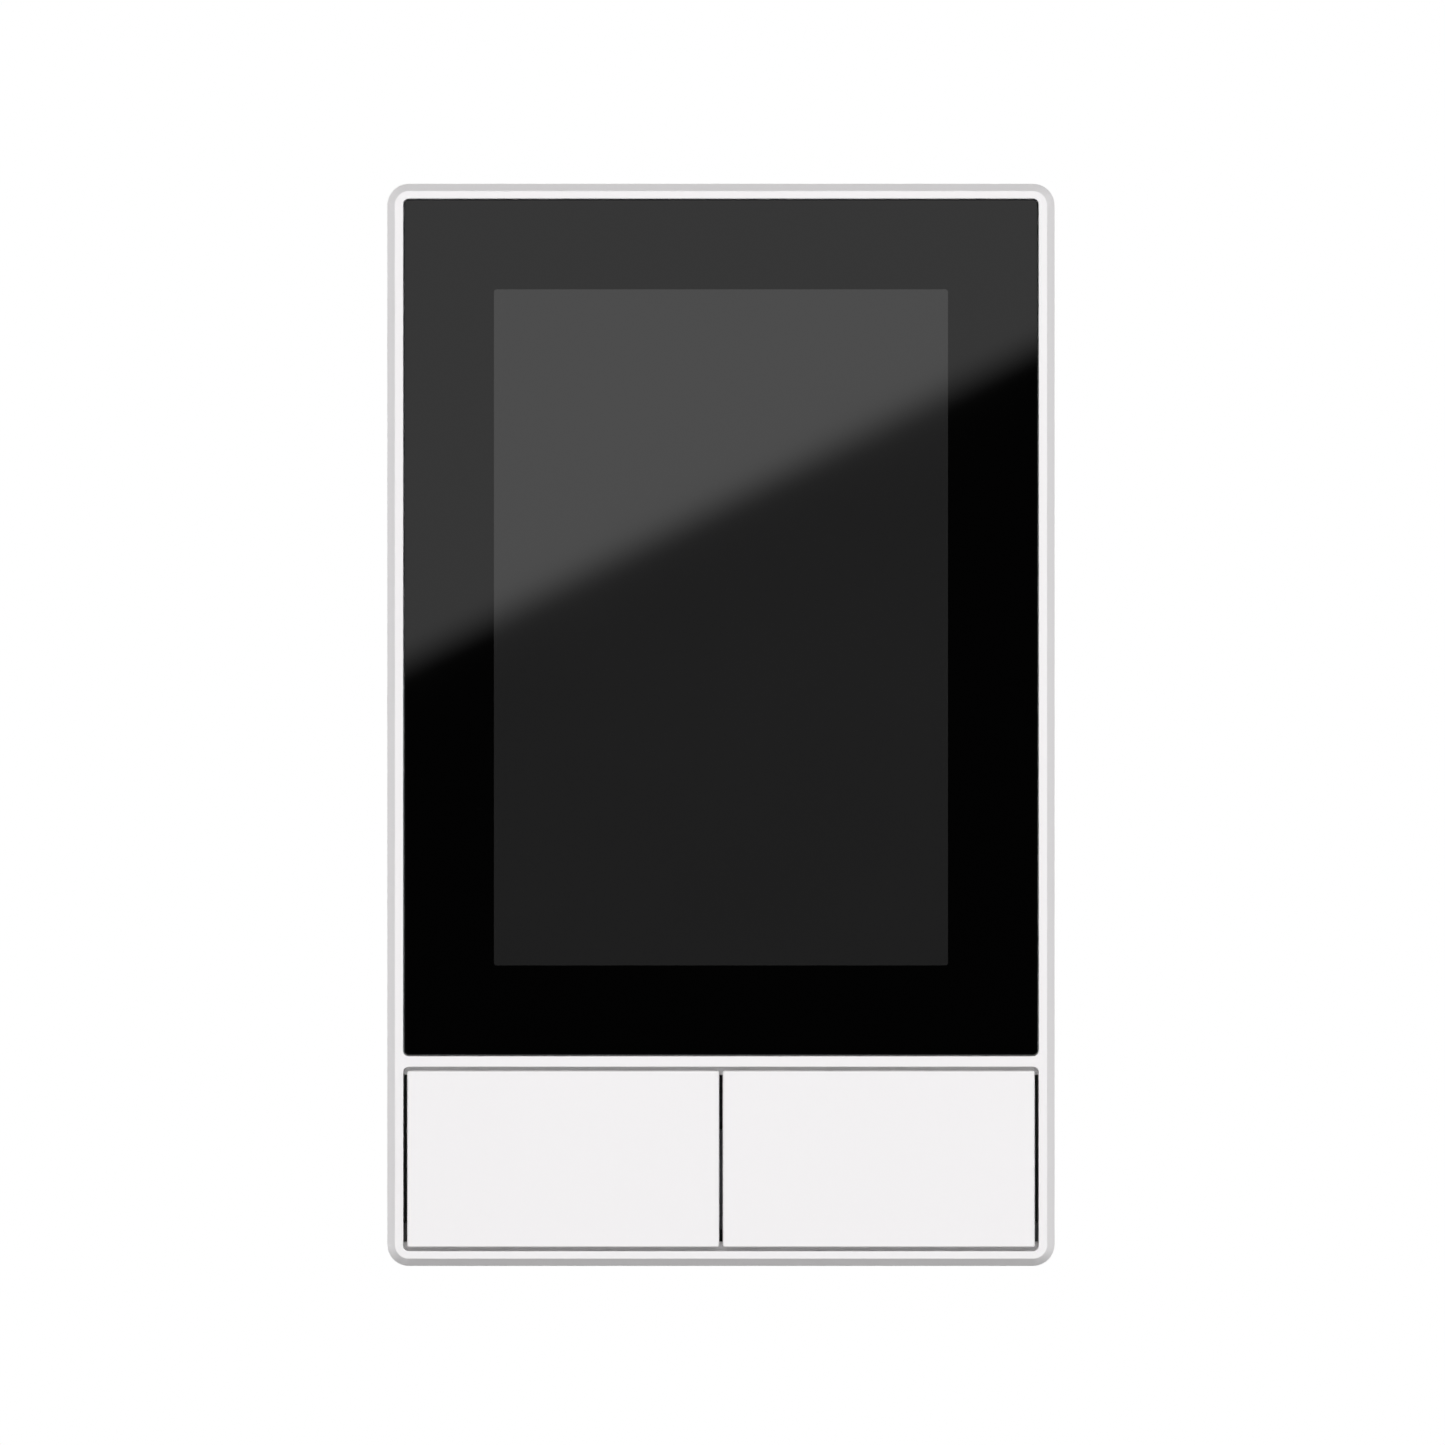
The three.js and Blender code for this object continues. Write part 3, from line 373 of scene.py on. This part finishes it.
plastics = {
    # grain and depth: of the mould's texture; drift: how much the tone wanders
    "shell_white": {
        "colour": (0.888, 0.872, 0.88), "roughness": 0.42, "grain": 0.35, "depth": 0.0015, "drift": 0.006},
    "key_white": {
        "colour": (0.9, 0.884, 0.892), "roughness": 0.45, "grain": 0.3, "depth": 0.0015, "drift": 0.006},
    "inner_white": {
        "colour": (0.76, 0.745, 0.72), "roughness": 0.55, "grain": 0.5, "depth": 0.008, "drift": 0.03},
    "cover_grey": {
        "colour": (0.03, 0.031, 0.033), "roughness": 0.58, "grain": 0.5, "depth": 0.008, "drift": 0.12},
    "black_plastic": {
        "colour": (0.02, 0.02, 0.022), "roughness": 0.5, "grain": 0.3, "depth": 0.004, "drift": 0.15},
    "block_grey": {
        "colour": (0.075, 0.078, 0.085), "roughness": 0.5, "grain": 0.4, "depth": 0.006, "drift": 0.1},
    "ivory_nylon": {
        "colour": (0.78, 0.73, 0.6), "roughness": 0.42, "grain": 0.25, "depth": 0.003, "drift": 0.05},
    "relay_blue": {
        "colour": (0.02, 0.07, 0.27), "roughness": 0.4, "grain": 0.4, "depth": 0.004, "drift": 0.12},
    "film_yellow": {
        "colour": (0.66, 0.34, 0.03), "roughness": 0.38, "grain": 0.4, "depth": 0.004, "drift": 0.1},
    "chip_black": {
        "colour": (0.012, 0.012, 0.014), "roughness": 0.55, "grain": 0.12, "depth": 0.004, "drift": 0.2},
}


# Moulded plastic: a fine eroded grain, and a tone and a gloss that wander a little over the piece.
def mouldedPlastic(name, look):
    material, tree, shader = newMaterial(name, look)
    point = place(tree)
    tone = spread(tree, noise(tree, point, 24 * mm, 2), 0, 1)
    tint(tree, shader, tone, darker(look["colour"], look["drift"]), look["colour"])
    grain = noise(tree, point, look["grain"] * mm, 3)
    rough = look["roughness"]
    gloss(tree, shader, spread(tree, grain, rough - 0.03, rough + 0.03))
    emboss(tree, shader, grain, look["depth"] * mm)
    return material


bay = {
    "mouth": -9.7 * mm,      # Y where the painted shade begins, inside the opening for the keys
    "floor": -8.2 * mm,      # Y where the painted shade is at its darkest
    "light": (0.63, 0.62, 0.625),
    "dark": (0.1, 0.099, 0.1),
    "front": -10.3 * mm,     # only what lies behind this, and within the next three, gets the painted shade
    "halfWidth": 35.3 * mm,
    "bottom": -58.35 * mm,
    "top": -37.85 * mm,
    "roughness": 0.55,
}


# Inside the opening for the keys: painted shade standing in for the shade of the deep gaps, light at the
# mouth and darkest at the floor.
def bayShadeMaterial(name, look):
    material, tree, shader = newMaterial(name, {"colour": look["dark"], "roughness": look["roughness"]})
    split = tree.nodes.new("ShaderNodeSeparateXYZ")
    tree.links.new(place(tree), split.inputs[0])
    # How far the painted shade has darkened, growing with depth into the bay.
    cover = remap(tree, split.outputs["Y"], look["mouth"], look["floor"], 0, 1)
    mottle = spread(tree, noise(tree, place(tree), 1.5 * mm, 3), -0.06, 0.06)
    tint(tree, shader, combine(tree, "ADD", cover, mottle), look["light"], look["dark"])
    emboss(tree, shader, noise(tree, place(tree), 0.4 * mm, 2), 0.006 * mm)
    return material


metals = {
    # brush: how far the marks stretch along Z; marks: their width; tarnish: how dull the patches are
    "pressed_steel": {
        "colour": (0.5, 0.52, 0.55), "roughness": 0.34, "brush": 24, "marks": 0.12, "tarnish": 0.12},
    "zinc_steel": {
        "colour": (0.66, 0.65, 0.61), "roughness": 0.27, "brush": 2, "marks": 0.25, "tarnish": 0.12},
    "tinned_metal": {
        "colour": (0.6, 0.61, 0.62), "roughness": 0.3, "brush": 5, "marks": 0.3, "tarnish": 0.15},
    "brass_cage": {
        "colour": (0.62, 0.43, 0.13), "roughness": 0.32, "brush": 10, "marks": 0.15, "tarnish": 0.3},
}


# Metal: long fine marks in its gloss and surface, and dull patches.
def workedMetal(name, look):
    material, tree, shader = newMaterial(name, {**look, "metallic": 1.0})
    marks = noise(tree, place(tree, scale=(1, 1, 1 / look["brush"])), look["marks"] * mm, 3)
    patches = remap(tree, noise(tree, place(tree), 3 * mm, 4), 0.35, 0.7, 0, 1)
    tint(tree, shader, patches, look["colour"], darker(look["colour"], look["tarnish"]))
    rough = look["roughness"]
    brushed = spread(tree, marks, rough - 0.08, rough + 0.08)
    gloss(tree, shader, combine(tree, "ADD", brushed, remap(tree, patches, 0, 1, 0, 0.1)))
    emboss(tree, shader, marks, 0.002 * mm)
    return material


copper = {
    "pitch": 1.27 * mm,      # of the lines
    "zone": 9 * mm,          # size of the areas in which they run one way
    "holes": 4 * mm,         # apart
    "tin": (0.6, 0.6, 0.58),
    "tinRoughness": 0.28,
    "height": 0.02 * mm,
}
boards = {
    "black_board": {"colour": (0.008, 0.01, 0.011), "over": (0.02, 0.024, 0.025), "roughness": 0.36},
    "green_board": {"colour": (0.01, 0.075, 0.03), "over": (0.02, 0.14, 0.05), "roughness": 0.36},
}


# Circuit board: lighter lines where copper runs under the mask, tinned dots at the holes, cut edges.
def circuitBoard(name, look):
    material, tree, shader = newMaterial(name, {**look, "coat": 0.4, "coatRoughness": 0.2})
    across = remap(tree, stripes(tree, place(tree), copper["pitch"]), 0.45, 0.55, 0, 1)
    along = remap(tree, stripes(tree, place(tree, turn=(0, 90, 0)), copper["pitch"]), 0.45, 0.55, 0, 1)
    zone = remap(tree, noise(tree, place(tree), copper["zone"], 0), 0.48, 0.52, 0, 1)
    lines = combine(tree, "ADD", combine(tree, "MULTIPLY", across, zone),
                    combine(tree, "MULTIPLY", along, combine(tree, "SUBTRACT", 1, zone)))
    dots = remap(tree, cells(tree, place(tree), copper["holes"], 0.8), 0.07, 0.085, 1, 0)
    masked = blend(tree, lines, look["colour"], look["over"])
    tint(tree, shader, dots, masked, copper["tin"])
    gloss(tree, shader, remap(tree, dots, 0, 1, look["roughness"], copper["tinRoughness"]))
    tree.links.new(dots, shader.inputs["Metallic"])
    emboss(tree, shader, combine(tree, "ADD", lines, dots), copper["height"])
    return material


glossBlack = {"colour": (0.0009, 0.0009, 0.0009), "roughness": 0.02}


# Black ink seen through clear glass: the gloss alone has a very slight breath of wear.
def printedGlass(name, look):
    material, tree, shader = newMaterial(name, look)
    breath = noise(tree, place(tree), 30 * mm, 3)
    rough = look["roughness"]
    gloss(tree, shader, spread(tree, breath, rough - 0.005, rough + 0.005))
    drift = spread(tree, noise(tree, place(tree), 18 * mm, 2), 0, 1)
    tint(tree, shader, drift, darker(look["colour"], 0.05), look["colour"])
    return material


displayGlass = {"colour": (0.012, 0.012, 0.013), "roughness": 0.12}

# The window over the display: greyer, and it mirrors a second time at the display's own glass.
displayWindow = {
    "colour": (0.0155, 0.0155, 0.0156),
    "roughness": 0.03,
    "coat": 0.66,
    "coatRoughness": 0.02,
}


film = {"colour": (0.42, 0.14, 0.02), "copper": (0.2, 0.05, 0.012), "pitch": 0.8 * mm, "roughness": 0.35}


# Film with copper lines inside, running along Z.
def flexFilm(name, look):
    material, tree, shader = newMaterial(name, {**look, "coat": 0.5, "coatRoughness": 0.15})
    lines = remap(tree, stripes(tree, place(tree), look["pitch"]), 0.4, 0.6, 0, 1)
    tint(tree, shader, lines, look["colour"], look["copper"])
    emboss(tree, shader, lines, 0.01 * mm)
    return material


tape = {"colour": (0.012, 0.012, 0.012), "cell": 0.15 * mm, "roughness": 0.8}


# Foam tape: closed cells on its cut edge.
def foamTape(name, look):
    material, tree, shader = newMaterial(name, look)
    foam = cells(tree, place(tree), look["cell"])
    tint(tree, shader, foam, darker(look["colour"], 0.6), look["colour"])
    emboss(tree, shader, foam, 0.03 * mm)
    return material


acrylic = {"colour": (0.8, 0.84, 0.87), "pitch": 0.7 * mm, "roughness": 0.2}


# Clear acrylic over white film: rows of fine dots that let the light out.
def acrylicSheet(name, look):
    material, tree, shader = newMaterial(name, look)
    dots = remap(tree, cells(tree, place(tree), look["pitch"], 0.0), 0.2, 0.3, 1, 0)
    tint(tree, shader, dots, darker(look["colour"], 0.15), look["colour"])
    gloss(tree, shader, remap(tree, dots, 0, 1, 0.12, 0.5))
    return material


core = {"colour": (0.05, 0.05, 0.054), "grain": 0.25 * mm, "roughness": 0.75}


# Pressed and fired ferrite: dull, speckled with open grains.
def ferrite(name, look):
    material, tree, shader = newMaterial(name, look)
    speck = noise(tree, place(tree), look["grain"], 4)
    tint(tree, shader, speck, darker(look["colour"], 0.4), look["colour"])
    gloss(tree, shader, spread(tree, speck, 0.85, 0.6))
    emboss(tree, shader, speck, 0.03 * mm)
    return material


winding = {"colour": (0.68, 0.44, 0.04), "width": 2.1 * mm, "roughness": 0.4}


# Tape wound round the coil: each turn's edge shows as a darker line, one above the other along Y.
def coilTape(name, look):
    material, tree, shader = newMaterial(name, {**look, "coat": 0.4, "coatRoughness": 0.1})
    turns = stripes(tree, place(tree, turn=(0, 0, 90)), look["width"], 0.3)
    tint(tree, shader, turns, darker(look["colour"], 0.35), look["colour"])
    emboss(tree, shader, turns, 0.03 * mm)
    return material


sleeve = {"colour": (0.014, 0.018, 0.026), "roughness": 0.25}
dip = {"colour": (0.027, 0.12, 0.35), "roughness": 0.25}


# Shrunk sleeve or dipped coat: glossy, with a slow orange-peel swell.
def dippedCoat(name, look):
    material, tree, shader = newMaterial(name, {**look, "coat": 0.5, "coatRoughness": 0.12})
    swell = noise(tree, place(tree), 1.8 * mm, 2)
    tint(tree, shader, swell, darker(look["colour"], 0.2), look["colour"])
    gloss(tree, shader, spread(tree, swell, look["roughness"], look["roughness"] + 0.1))
    emboss(tree, shader, swell, 0.04 * mm)
    return material


finishes = {name: mouldedPlastic(name, look) for name, look in plastics.items()}
finishes.update({name: workedMetal(name, look) for name, look in metals.items()})
finishes.update({name: circuitBoard(name, look) for name, look in boards.items()})
# Painted shade for the inside of the key bay, darker with depth.
finishes["bay_painted_shade"] = bayShadeMaterial("bay_painted_shade", bay)
finishes["black_glass"] = printedGlass("black_glass", glossBlack)
finishes["display_window"] = printedGlass("display_window", displayWindow)
finishes["display_glass"] = printedGlass("display_glass", displayGlass)
finishes["black_tape"] = foamTape("black_tape", tape)
finishes["light_guide"] = acrylicSheet("light_guide", acrylic)
finishes["amber_film"] = flexFilm("amber_film", film)
finishes["ferrite"] = ferrite("ferrite", core)
finishes["coil_tape"] = coilTape("coil_tape", winding)
finishes["capacitor_sleeve"] = dippedCoat("capacitor_sleeve", sleeve)
finishes["varistor_blue"] = dippedCoat("varistor_blue", dip)
print("finishes: %d" % len(finishes))

slotOf = {part["node"]: part["material_slot"] for part in frame["record"]["subparts"]}
bodies = frame["record"]["behaviour"]["bodies"]
bodyOf = {node: body for body, members in bodies.items() for node in members}
for name, node in nodes.items():
    for slot in node.material_slots:
        slot.material = finishes[slotOf[name]]


def addPiece(name, mesh, node, materials):
    piece = bpy.data.objects.new(name, mesh)
    mesh.materials.clear()
    for material in materials:
        mesh.materials.append(material)
    scene.collection.objects.link(piece)
    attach(piece, bodyOf[node])
    return piece


# How far each node's edges are rounded over, in millimetres, and in how many steps.
edges = {
    "front_bezel": (0.07, 3), "left_key": (0.05, 2), "right_key": (0.05, 2),
    "rear_cover": (0.08, 2), "mount_frame": (0.07, 2), "power_lid": (0.08, 2),
    "power_case": (0.11, 3), "terminal_block": (0.12, 2), "lcd_tray": (0.08, 1),
    "board_socket": (0.1, 1), "board_plug": (0.05, 1), "speaker": (0.1, 2),
    "left_switch_body": (0.08, 1), "right_switch_body": (0.08, 1), "relay_1": (0.25, 2),
    "relay_2": (0.25, 2), "film_capacitor": (0.35, 3), "transformer_core": (0.15, 1),
    "transformer_coil": (0.25, 2), "varistor": (0.5, 3), "filter_capacitor": (0.1, 2),
    "left_key_rod": (0.1, 1), "right_key_rod": (0.1, 1), "left_switch_plunger": (0.1, 2),
    "right_switch_plunger": (0.1, 2), "upper_wall_screw": (0.08, 2), "lower_wall_screw": (0.08, 2),
}
for number in range(1, 5):
    edges["terminal_cage_%d" % number] = (0.15, 2)
    edges["terminal_tab_%d" % number] = (0.08, 1)
    edges["terminal_screw_%d" % number] = (0.08, 2)
    edges["cover_screw_%d" % number] = (0.05, 2)
    edges["module_screw_%d" % number] = (0.06, 2)


rounding = {
    "merge": 0.002 * mm,             # corners nearer than this are one
    "flat": math.radians(1),         # triangles that meet this nearly flat are joined
    "sharp": math.radians(30),       # edges that turn further than this are rounded
    "room": 2.2,                     # times the width: a shorter edge leaves no room beside it
    "askew": math.radians(50),       # unless it runs on within this of the edge's own line
}


# True where no short edge turns off at either end, so that a bevel of this width has room.
def roomy(edge, width):
    along = edge.verts[1].co - edge.verts[0].co
    for corner in edge.verts:
        for other in corner.link_edges:
            if other is edge or other.calc_length() > rounding["room"] * width:
                continue
            turn = (other.other_vert(corner).co - corner.co).angle(along)
            if min(turn, math.pi - turn) > rounding["askew"]:
                return False
    return True


# A node's own shape with its triangles joined into flat faces and its sharp edges rounded over.
def softened(name, width, steps):
    shape = bmesh.new()
    shape.from_mesh(nodes[name].data)
    bmesh.ops.remove_doubles(shape, verts=shape.verts, dist=rounding["merge"])
    bmesh.ops.dissolve_limit(shape, angle_limit=rounding["flat"], verts=shape.verts, edges=shape.edges)
    weight = shape.edges.layers.float.new("bevel_weight_edge")
    for edge in shape.edges:
        sharp = edge.calc_face_angle(0) > rounding["sharp"]
        edge[weight] = float(sharp and roomy(edge, width * mm))
        edge.smooth = not sharp or edge[weight] > 0
    for face in shape.faces:
        face.smooth = True
    mesh = bpy.data.meshes.new(name + "_draft")
    shape.to_mesh(mesh)
    shape.free()
    draft = bpy.data.objects.new(name + "_draft", mesh)
    scene.collection.objects.link(draft)
    bevel = draft.modifiers.new("edge", "BEVEL")
    bevel.width = width * mm
    bevel.segments = steps
    bevel.limit_method = "WEIGHT"
    bevel.use_clamp_overlap = False
    bevel.face_strength_mode = "FSTR_AFFECTED"
    normals = draft.modifiers.new("normals", "WEIGHTED_NORMAL")
    normals.use_face_influence = True
    normals.keep_sharp = True
    ready = draft.evaluated_get(bpy.context.evaluated_depsgraph_get())
    mesh = bpy.data.meshes.new_from_object(ready)
    mesh.name = name + "_shape"
    bpy.data.objects.remove(draft)
    piece = addPiece(name + "_finished", mesh, name, [finishes[slotOf[name]]])
    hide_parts(name)
    return piece


rounded = {name: softened(name, width, steps) for name, (width, steps) in edges.items()}
print("softened: %d nodes" % len(rounded))


# Gives the painted shade to the bezel's faces whose middle lies inside the bay, behind its mouth.
def paintBayShade(piece):
    mesh = piece.data
    middle = np.empty(len(mesh.polygons) * 3)
    mesh.polygons.foreach_get("center", middle)
    x, y, z = middle.reshape(-1, 3).T
    inside = (abs(x) < bay["halfWidth"]) & (y > bay["front"]) & (z > bay["bottom"]) & (z < bay["top"])
    mesh.materials.append(finishes["bay_painted_shade"])
    mesh.polygons.foreach_set("material_index", inside.astype(np.int32))
    mesh.update()


# The bezel's faces inside the key bay get painted shade, darker with depth.
paintBayShade(rounded["front_bezel"])


pane = {
    "rim": 0.1 * mm,         # radius that the polished rim rounds over
    "corner": 0.5 * mm,
    "border": 9.95 * mm,     # black print between the rim and the display window
    "windowCorner": 0.3 * mm,
    "rimSteps": 5,
    "cornerSteps": 8,
}


# A rounded rectangle round the pane's middle, one row of points for each inset and depth given. Each point
# is a corner's centre plus its radius times the cosine and sine of an angle that sweeps a quarter turn.
def roundedRings(insets, depths, corners):
    halfX = (glassHigh.x - glassLow.x) / 2 - insets
    halfZ = (glassHigh.z - glassLow.z) / 2 - insets
    sweep = np.linspace(0, math.pi / 2, pane["cornerSteps"] + 1)
    turn = (np.arange(4)[:, None] * math.pi / 2 + sweep).reshape(-1)
    signX = np.repeat([1, -1, -1, 1], sweep.size)
    signZ = np.repeat([1, 1, -1, -1], sweep.size)
    x = (halfX - corners)[:, None] * signX + corners[:, None] * np.cos(turn)
    z = (halfZ - corners)[:, None] * signZ + corners[:, None] * np.sin(turn)
    y = np.broadcast_to(depths[:, None], x.shape)
    middle = np.array([(glassLow.x + glassHigh.x) / 2, faceY, (glassLow.z + glassHigh.z) / 2])
    return np.stack([x, y, z], axis=-1) + middle


# The pane: from its rear face up the side, over the round rim (a quarter circle), across the black border
# and over the display window. Quads join the rings, and one polygon closes each of the two flat faces.
def makePane():
    thick = glassHigh.y - glassLow.y
    swing = np.linspace(0, math.pi / 2, pane["rimSteps"] + 1)
    rimIn = pane["rim"] * (1 - np.cos(swing))
    rimDepth = pane["rim"] * (1 - np.sin(swing))
    insets = np.concatenate([[0.0], rimIn, [pane["border"]]])
    depths = np.concatenate([[thick], rimDepth, [0.0]])
    corners = np.concatenate([pane["corner"] - np.concatenate([[0.0], rimIn]), [pane["windowCorner"]]])
    points = roundedRings(insets, depths, corners)
    ringCount, around = points.shape[:2]
    ring, step = np.meshgrid(np.arange(ringCount - 1), np.arange(around), indexing="ij")
    after = (step + 1) % around
    quads = np.stack([ring * around + step, (ring + 1) * around + step,
                      (ring + 1) * around + after, ring * around + after], axis=-1).reshape(-1, 4)
    mesh = bpy.data.meshes.new("glass_pane")
    rear = list(range(around))
    window = [(ringCount - 1) * around + i for i in reversed(range(around))]
    mesh.from_pydata(points.reshape(-1, 3).tolist(), [], quads.tolist() + [rear, window])
    faces = [finishes["black_glass"], finishes["display_window"]]
    piece = addPiece("glass_pane", mesh, "cover_glass", faces)
    smooth = np.zeros(len(mesh.polygons), dtype=bool)
    smooth[:(ringCount - 2) * around] = True     # all but the black border and the two flat faces
    mesh.polygons.foreach_set("use_smooth", smooth)
    slot = np.zeros(len(mesh.polygons), dtype=np.int32)
    slot[-1] = 1
    mesh.polygons.foreach_set("material_index", slot)
    mesh.update()
    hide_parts("cover_glass")


makePane()


thread = {
    "pitch": 0.7 * mm,
    "root": 1.5 * mm,        # just inside the plain shank
    "crest": 1.72 * mm,
    "crestWidth": 0.12 * mm,
    "footWidth": 0.616 * mm,
    "start": 2.2 * mm,       # behind the mounting frame's front
    "end": 1.6 * mm,         # short of the tip
    "around": 28,            # points in one turn
}


# A ridge wound round the shank. Its profile, a low triangle with a narrow flat crest, turns about the axis
# by one angle a step while it climbs one pitch a turn. It rises and sinks over the first and last turn.
def makeThread(node):
    low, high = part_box(node)
    x0, z0 = (low.x + high.x) / 2, (low.z + high.z) / 2
    run = high.y - thread["end"] - (low.y + thread["start"])
    turns = run / thread["pitch"]
    count = int(turns * thread["around"])
    share = np.linspace(0, 1, count + 1)
    angle = 2 * math.pi * turns * share
    rise = np.clip(np.minimum(share, 1 - share) * turns, 0, 1)
    climb = low.y + thread["start"] + run * share
    crest = thread["root"] + (thread["crest"] - thread["root"]) * rise
    half = thread["footWidth"] / 2
    flat = thread["crestWidth"] / 2
    foot = np.full_like(crest, thread["root"])
    radius = np.stack([foot, crest, crest, foot], axis=1)
    offset = np.array([-half, -flat, flat, half])
    points = np.stack([x0 + radius * np.cos(angle)[:, None], climb[:, None] + offset,
                       z0 - radius * np.sin(angle)[:, None]], axis=-1)
    step, side = np.meshgrid(np.arange(count), np.arange(4), indexing="ij")
    beside = (side + 1) % 4
    quads = np.stack([step * 4 + side, (step + 1) * 4 + side, (step + 1) * 4 + beside, step * 4 + beside],
                     axis=-1).reshape(-1, 4)
    ends = [[3, 2, 1, 0], [count * 4 + i for i in range(4)]]
    mesh = bpy.data.meshes.new(node + "_thread")
    mesh.from_pydata(points.reshape(-1, 3).tolist(), [], quads.tolist() + ends)
    shape = bmesh.new()
    shape.from_mesh(mesh)
    bmesh.ops.recalc_face_normals(shape, faces=shape.faces)
    shape.to_mesh(mesh)
    shape.free()
    addPiece(node + "_thread", mesh, node, [finishes["zinc_steel"]])


makeThread("upper_wall_screw")
makeThread("lower_wall_screw")
print("pieces: glass pane and two threads")
